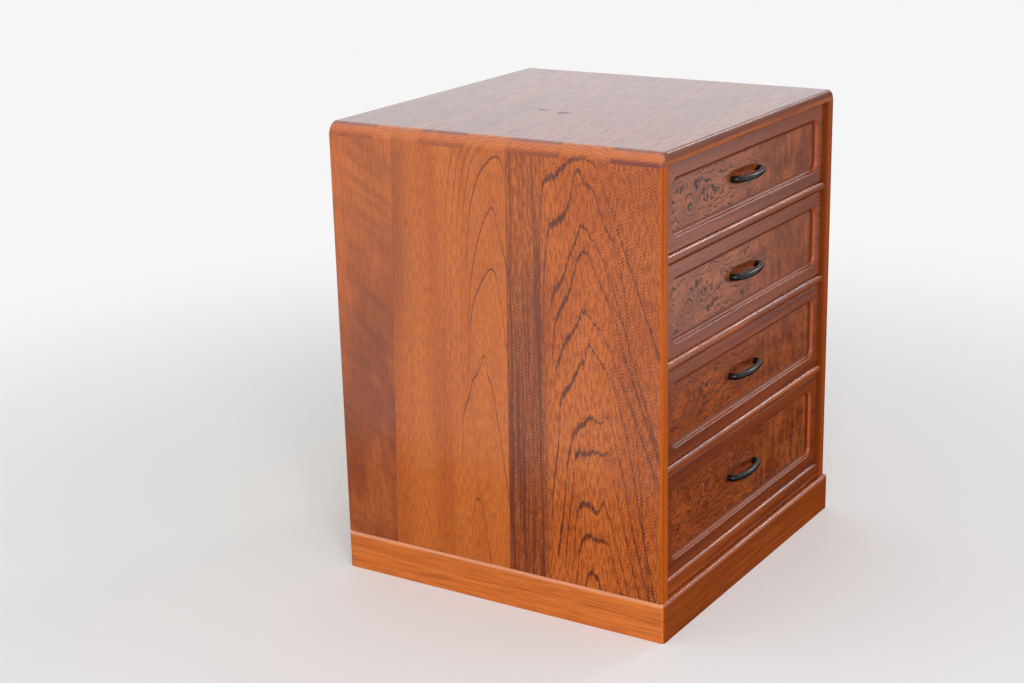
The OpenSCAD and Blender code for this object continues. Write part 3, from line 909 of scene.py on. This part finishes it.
@dataclass(frozen=True)
class Studio:
    """Plain pale floor and soft light.

    The lacquer mirrors a white room, and a darker stretch of floor at the chest's foot.
    """

    lamps: tuple[Lamp, ...] = (
        Lamp("key_lamp", (-2.3, -1.7, 1.35), 1.6, 46.0),
        Lamp("right_lamp", (3.4, -1.2, 2.05), 0.55, 12.0),
    )
    ambient: float = 0.62
    room: float = 0.95
    floor_glow: float = 0.92
    floor_reach: float = 30.0
    stretch_left: float = -480.0
    stretch_front: float = -530.0
    stretch_blur: tuple[float, float] = (45.0, 60.0)

    def make(self) -> None:
        """Builds floor, world and lamps."""
        for lamp in self.lamps:
            lamp.make()
        self.make_world()
        self.make_floor()

    def make_world(self) -> None:
        """A white room for the camera and for reflections, with softer light for the rest."""
        world = bpy.data.worlds.new("room")
        world.use_nodes = True
        room = Nodes(world.node_tree)
        back = room.tree.nodes["Background"]
        camera, glossy = rays(room)
        room.feed(back.inputs["Color"], (1.0, 1.0, 1.0))
        white = camera.most(glossy)
        room.feed(back.inputs["Strength"], white * (self.room - self.ambient) + self.ambient)
        bpy.context.scene.world = world

    def make_floor(self) -> None:
        """A wide pale floor; the lacquer mirrors it white beyond a darker stretch at the chest."""
        reach = self.floor_reach
        mesh = bpy.data.meshes.new("floor")
        corners = [(-reach, -reach, 0), (reach, -reach, 0), (reach, reach, 0), (-reach, reach, 0)]
        mesh.from_pydata(corners, [], [(0, 1, 2, 3)])
        floor = bpy.data.objects.new("floor", mesh)
        bpy.context.scene.collection.objects.link(floor)
        r = Recipe("pale_floor")
        r.shader.inputs["Roughness"].default_value = 0.9
        r.shader.inputs["Specular IOR Level"].default_value = 0.1
        camera, glossy = rays(r)
        r.feed(r.shader.inputs["Base Color"], r.mix(camera, (0.74, 0.74, 0.74), (0.94, 0.94, 0.94)))
        away = (r.x.power(2) + r.y.power(2)).power(0.5).rise(450, 1300)
        left, front, (wide, deep) = self.stretch_left, self.stretch_front, self.stretch_blur
        near = r.x.rise(left - wide, left + wide) * r.y.rise(front - deep, front + deep)
        right = (r.x + r.y * 2.07).rise(-500, -50) * r.x.rise(0, 300)
        mirrored = (1 - near * 0.97) * (1 - right * 0.92) * self.floor_glow
        glow = r.add("ShaderNodeEmission", Strength=glossy * mirrored + (1 - glossy) * self.floor_glow)
        blend = r.add("ShaderNodeMixShader", Fac=(camera * away).most(glossy))
        r.feed(blend.inputs[1], r.shader)
        r.feed(blend.inputs[2], glow)
        r.feed(r.tree.nodes["Material Output"].inputs["Surface"], blend)
        mesh.materials.append(r.material)


def dress(material: bpy.types.Material, nodes: Iterable[str]) -> None:
    """Gives CAD nodes a finish and reports each.

    Args:
        material: the finish.
        nodes: names of the nodes.
    """
    for name in nodes:
        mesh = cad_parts[name].data
        mesh.materials.clear()
        mesh.materials.append(material)
        LOG.info("dressed %s in %s", name, material.name)


def settle(piece: bpy.types.Object, body: str, node: str) -> None:
    """Turns a piece made by Geometry Nodes into a plain mesh that rides on a body.

    Args:
        piece: the object that carries the modifier.
        body: the body that the piece rides on.
        node: the CAD node that the piece stands for.
    """
    graph = bpy.context.evaluated_depsgraph_get()
    mesh = bpy.data.meshes.new_from_object(piece.evaluated_get(graph))
    piece.modifiers.clear()
    piece.data = mesh
    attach(piece, body)
    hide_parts(node)
    LOG.info("made %s for %s with %d faces", piece.name, node, len(mesh.polygons))


class ShapeTree(Nodes):
    """A Geometry Nodes tree with named inputs."""

    def __init__(self, name: str) -> None:
        """Starts a tree with a mesh going in and a mesh coming out.

        Args:
            name: the tree's name.
        """
        super().__init__(bpy.data.node_groups.new(name, "GeometryNodeTree"))
        for way in ("INPUT", "OUTPUT"):
            self.tree.interface.new_socket("Geometry", in_out=way, socket_type="NodeSocketGeometry")
        self.entry = self.node("NodeGroupInput")
        self.exit = self.node("NodeGroupOutput")

    def size(self, name: str, value: float) -> Field:
        """Adds a named length to the tree's inputs.

        Args:
            name: the length's name.
            value: the length in metres unless a piece sets another.

        Returns:
            The length inside the tree.
        """
        item = self.tree.interface.new_socket(name, in_out="INPUT", socket_type="NodeSocketFloat")
        item.default_value = value
        return Field(self, self.entry.outputs[name])

    def lift(self, shape: bpy.types.Node, height: Field) -> bpy.types.Node:
        """Moves a shape up, or down where the height is negative."""
        return self.add("GeometryNodeTransform", Geometry=shape,
                        Translation=self.add("ShaderNodeCombineXYZ", Z=height))

    def end(self, shape: bpy.types.Node, material: bpy.types.Material) -> None:
        """Closes the tree with Realize Instances and Set Material.

        Args:
            shape: what the tree has made.
            material: its finish.
        """
        real = self.add("GeometryNodeRealizeInstances", Geometry=shape)
        dressed = self.add("GeometryNodeSetMaterial", Geometry=real, Material=material)
        self.feed(self.exit.inputs[0], dressed)

    def use_on(self, name: str, mesh: bpy.types.Mesh, **sizes: float) -> bpy.types.Object:
        """Makes an object that carries the tree.

        Args:
            name: the object's name.
            mesh: the mesh that goes into the tree.
            sizes: values for the tree's named inputs, underscores standing for spaces.

        Returns:
            The object.
        """
        piece = bpy.data.objects.new(name, mesh)
        bpy.context.scene.collection.objects.link(piece)
        modifier = piece.modifiers.new("shape", "NODES")
        modifier.node_group = self.tree
        items = {i.name: i.identifier for i in self.tree.interface.items_tree if i.in_out == "INPUT"}
        for size, value in sizes.items():
            modifier[items[size.replace("_", " ")]] = value
        return piece


@dataclass(frozen=True)
class BowPull:
    """The iron bow: a grip bowed out and a little down, its ends bent back into the drawer front."""

    reach: float = 0.027
    stand: float = 0.0052
    bend: float = 0.004
    bow_angle: float = math.radians(17)
    droop: float = math.radians(10)
    rise: float = 0.0005
    tail: float = 0.009
    rod: float = 0.0032
    bend_steps: int = 12
    grip_steps: int = 16

    def path(self, middle: Vector) -> list[Vector]:
        """Middle line of the rod.

        Args:
            middle: the point on the veneer's face level with the fixed ends.

        Returns:
            Points from the left tail to the right one.
        """
        out, down = self.bow_angle, self.droop
        back = math.asin(math.sin(out) * math.cos(down))
        turn = math.atan2(math.sin(out) * math.sin(down), math.cos(out))
        inward = self.bend * (1 - math.sin(back))
        radius = (self.reach - inward * math.cos(turn)) / math.sin(out)
        start = self.bend * math.cos(back) - self.stand
        half = [Vector((self.reach, y, 0)) for y in (self.tail, (self.tail + start) / 2, start)]
        along = Vector((math.cos(turn), 0, math.sin(turn)))
        heel = half[-1] - along * self.bend
        for i in range(1, self.bend_steps + 1):
            angle = math.pi / 2 - (math.pi / 2 - back) * i / self.bend_steps
            outward = Vector((0, self.bend * math.cos(angle), 0))
            half.append(heel + along * (self.bend * math.sin(angle)) - outward)
        lean = Vector((0, -math.cos(down), -math.sin(down)))
        centre = lean * (-radius * math.cos(out)) - Vector((0, self.stand, inward * math.sin(turn)))
        for i in range(1, self.grip_steps + 1):
            angle = out * (1 - i / self.grip_steps)
            aside = Vector((radius * math.sin(angle), 0, 0))
            half.append(centre + aside + lean * (radius * math.cos(angle)))
        other = [Vector((-p.x, p.y, p.z)) for p in half[:-1]]
        return [middle + p for p in other + half[::-1]]


@dataclass
class Drawer:
    """One drawer: dressed box, front and veneer, with its pull and screws."""

    number: int
    pull: BowPull = BowPull()

    @property
    def body(self) -> str:
        """Name of the drawer's body."""
        return f"drawer_{self.number}"

    @property
    def panel_z(self) -> float:
        """Height of the panel's middle in metres."""
        low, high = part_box(f"{self.body}_burl")
        return (low.z + high.z) / 2

    def make_pull(self, tree: ShapeTree) -> None:
        """Sweeps the rod along the bow's path.

        Args:
            tree: tree that sweeps a rod.
        """
        burl_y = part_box(f"{self.body}_burl")[0].y
        points = self.pull.path(Vector((0, burl_y, self.panel_z + self.pull.rise)))
        mesh = bpy.data.meshes.new(f"{self.body}_bow")
        mesh.from_pydata([tuple(p) for p in points], [(i, i + 1) for i in range(len(points) - 1)], [])
        piece = tree.use_on(f"{self.body}_bow", mesh, Rod_radius=self.pull.rod)
        settle(piece, self.body, f"{self.body}_pull")

    def make_screws(self, tree: ShapeTree) -> None:
        """Places the two slotted screws inside the drawer.

        Args:
            tree: tree that makes the screws.
        """
        mesh = bpy.data.meshes.new(f"{self.body}_slotted_screws")
        inner_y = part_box(f"{self.body}_front")[1].y
        height = self.panel_z + self.pull.rise
        mesh.from_pydata([(s * self.pull.reach, inner_y, height) for s in (-1, 1)], [], [])
        piece = tree.use_on(f"{self.body}_slotted_screws", mesh)
        settle(piece, self.body, f"{self.body}_screws")

    def make(self, bow: ShapeTree, screw: ShapeTree, box_wood: dict[Grain, bpy.types.Material]) -> None:
        """Dresses the drawer's nodes and makes its pull and screws.

        Args:
            bow: tree that sweeps the pull's rod.
            screw: tree that makes the screws.
            box_wood: finish of the box by the way of its grain.
        """
        dress(FrontWood(f"{self.body}_border_wood").make(), [f"{self.body}_front"])
        # Painted reflection haze over the left of the burl: mauve on the two upper drawers, orange on the
        # lower two.
        reflection_tint = tone(208, 130, 100) if self.number < 3 else tone(206, 88, 14)
        burl = BurlVeneer(f"{self.body}_burl_veneer", self.panel_z * MM, seed=3.0 + self.number * 0.35,
                          ink=1.1 - self.number * 0.1, flames=0.12 + self.number * 0.075, reflection_tint=reflection_tint)
        dress(burl.make(), [f"{self.body}_burl"])
        dress(box_wood[Grain.BACKWARDS], [f"{self.body}_left_side", f"{self.body}_right_side"])
        dress(box_wood[Grain.ACROSS], [f"{self.body}_back", f"{self.body}_bottom"])
        self.make_pull(bow)
        self.make_screws(screw)


@dataclass
class Carcase:
    """The joined case with its rails, shelves, back and plinth."""

    rail: tuple[Tone, Tone] = (tone(166, 78, 26), tone(120, 52, 22))
    plinth_front: tuple[Tone, Tone] = (tone(170, 80, 22), tone(142, 62, 18))
    plinth_side: tuple[Tone, Tone] = (tone(230, 126, 54), tone(206, 102, 42))
    plinth_lip: float = 2.5

    def make(self, box_wood: dict[Grain, bpy.types.Material]) -> None:
        """Dresses every node of the case.

        Args:
            box_wood: finish of the unseen boards by the way of their grain.
        """
        dress(SideWood("side_boards").make(), ["left_side", "right_side"])
        dress(TopWood("top_board_wood").make(), ["top_board"])
        rails = StraightWood("rail_wood", *self.rail, Grain.ACROSS, pore_depth=0.3, roughness=0.14)
        dress(rails.make(), ["rail_1", "rail_2", "rail_3", "bottom_rail"])
        front = StraightWood("plinth_front_wood", *self.plinth_front, Grain.ACROSS,
                             banding=0.7, pore_depth=0.4, roughness=0.14)
        # The plinth sides carry a painted highlight along their top lip.
        side = StraightWood("plinth_side_wood", *self.plinth_side, Grain.BACKWARDS, Gloss(coat=1.0),
                            banding=0.5, pore_depth=0.5, roughness=0.2,
                            lip_highlight_from=box_mm("plinth_left")[1].z - self.plinth_lip)
        dress(front.make(), ["plinth_front", "plinth_back"])
        dress(side.make(), ["plinth_left", "plinth_right"])
        dress(box_wood[Grain.ACROSS], ["shelf_1", "shelf_2", "shelf_3", "bottom_board", "drawer_stops"])
        dress(box_wood[Grain.UPRIGHT], ["back_panel", "plinth_blocks"])


def bow_tree(iron: bpy.types.Material) -> ShapeTree:
    """Tree that sweeps a round rod along a line of edges.

    Args:
        iron: the rod's finish.

    Returns:
        The tree.
    """
    tree = ShapeTree("bow_rod")
    radius = tree.size("Rod radius", BowPull().rod)
    line = tree.add("GeometryNodeMeshToCurve", Mesh=tree.entry)
    ring = tree.add("GeometryNodeCurvePrimitiveCircle", Resolution=32, Radius=radius)
    rod = tree.add("GeometryNodeCurveToMesh", Curve=line, Profile_Curve=ring, Fill_Caps=True)
    tree.end(tree.add("GeometryNodeSetShadeSmooth", Geometry=rod), iron)
    return tree


def screw_tree(steel: bpy.types.Material) -> ShapeTree:
    """Tree that puts a slotted screw, pointing into the drawer front, at each point.

    Args:
        steel: the screws' finish.

    Returns:
        The tree.
    """
    tree = ShapeTree("slotted_screw")
    head_radius = tree.size("Head radius", 0.0035)
    head_height = tree.size("Head height", 0.0022)
    shank_radius = tree.size("Shank radius", 0.0015)
    shank_length = tree.size("Shank length", 0.0105)
    slot_size = (0.0009, 0.009, 0.0012)
    slot_turn = 0.5
    head = tree.add("GeometryNodeMeshCylinder", Vertices=32, Radius=head_radius, Depth=head_height)
    slot = tree.add("GeometryNodeMeshCube", Size=slot_size)
    cut = tree.node("GeometryNodeMeshBoolean", operation="DIFFERENCE")
    tree.feed(cut.inputs[0], tree.lift(head, head_height * 0.5))
    tree.feed(cut.inputs[1], tree.lift(slot, head_height))
    shank = tree.add("GeometryNodeMeshCylinder", Vertices=24, Radius=shank_radius, Depth=shank_length)
    joined = tree.node("GeometryNodeJoinGeometry")
    tree.feed(joined.inputs[0], cut)
    tree.feed(joined.inputs[0], tree.lift(shank, shank_length * -0.5))
    turned = tree.add("GeometryNodeTransform", Geometry=joined, Rotation=(-math.pi / 2, slot_turn, 0.0))
    points = tree.add("GeometryNodeMeshToPoints", Mesh=tree.entry)
    tree.end(tree.add("GeometryNodeInstanceOnPoints", Points=points, Instance=turned), steel)
    return tree


def box_woods() -> dict[Grain, bpy.types.Material]:
    """Finishes of the unlacquered boards inside the chest.

    Returns:
        One finish for each way of the grain.
    """
    light, dark = tone(214, 178, 130), tone(188, 148, 102)
    return {
        grain: StraightWood(f"box_wood_{grain.name.lower()}", light, dark, grain, Gloss(specular=0.3),
                            banding=0.6, pore_depth=0.15, roughness=0.6).make()
        for grain in Grain
    }


def main() -> None:
    """Builds the view, the light and the dressed chest."""
    logging.basicConfig(level=logging.INFO, format="%(name)s: %(message)s")
    Viewpoint().make()
    bpy.context.scene.view_settings.view_transform = "Standard"
    Studio().make()
    box_wood = box_woods()
    Carcase().make(box_wood)
    bow, screw = bow_tree(BlackIron().make()), screw_tree(ScrewSteel().make())
    for number in range(1, DRAWER_COUNT + 1):
        Drawer(number).make(bow, screw, box_wood)


if __name__ == "__main__":
    main()
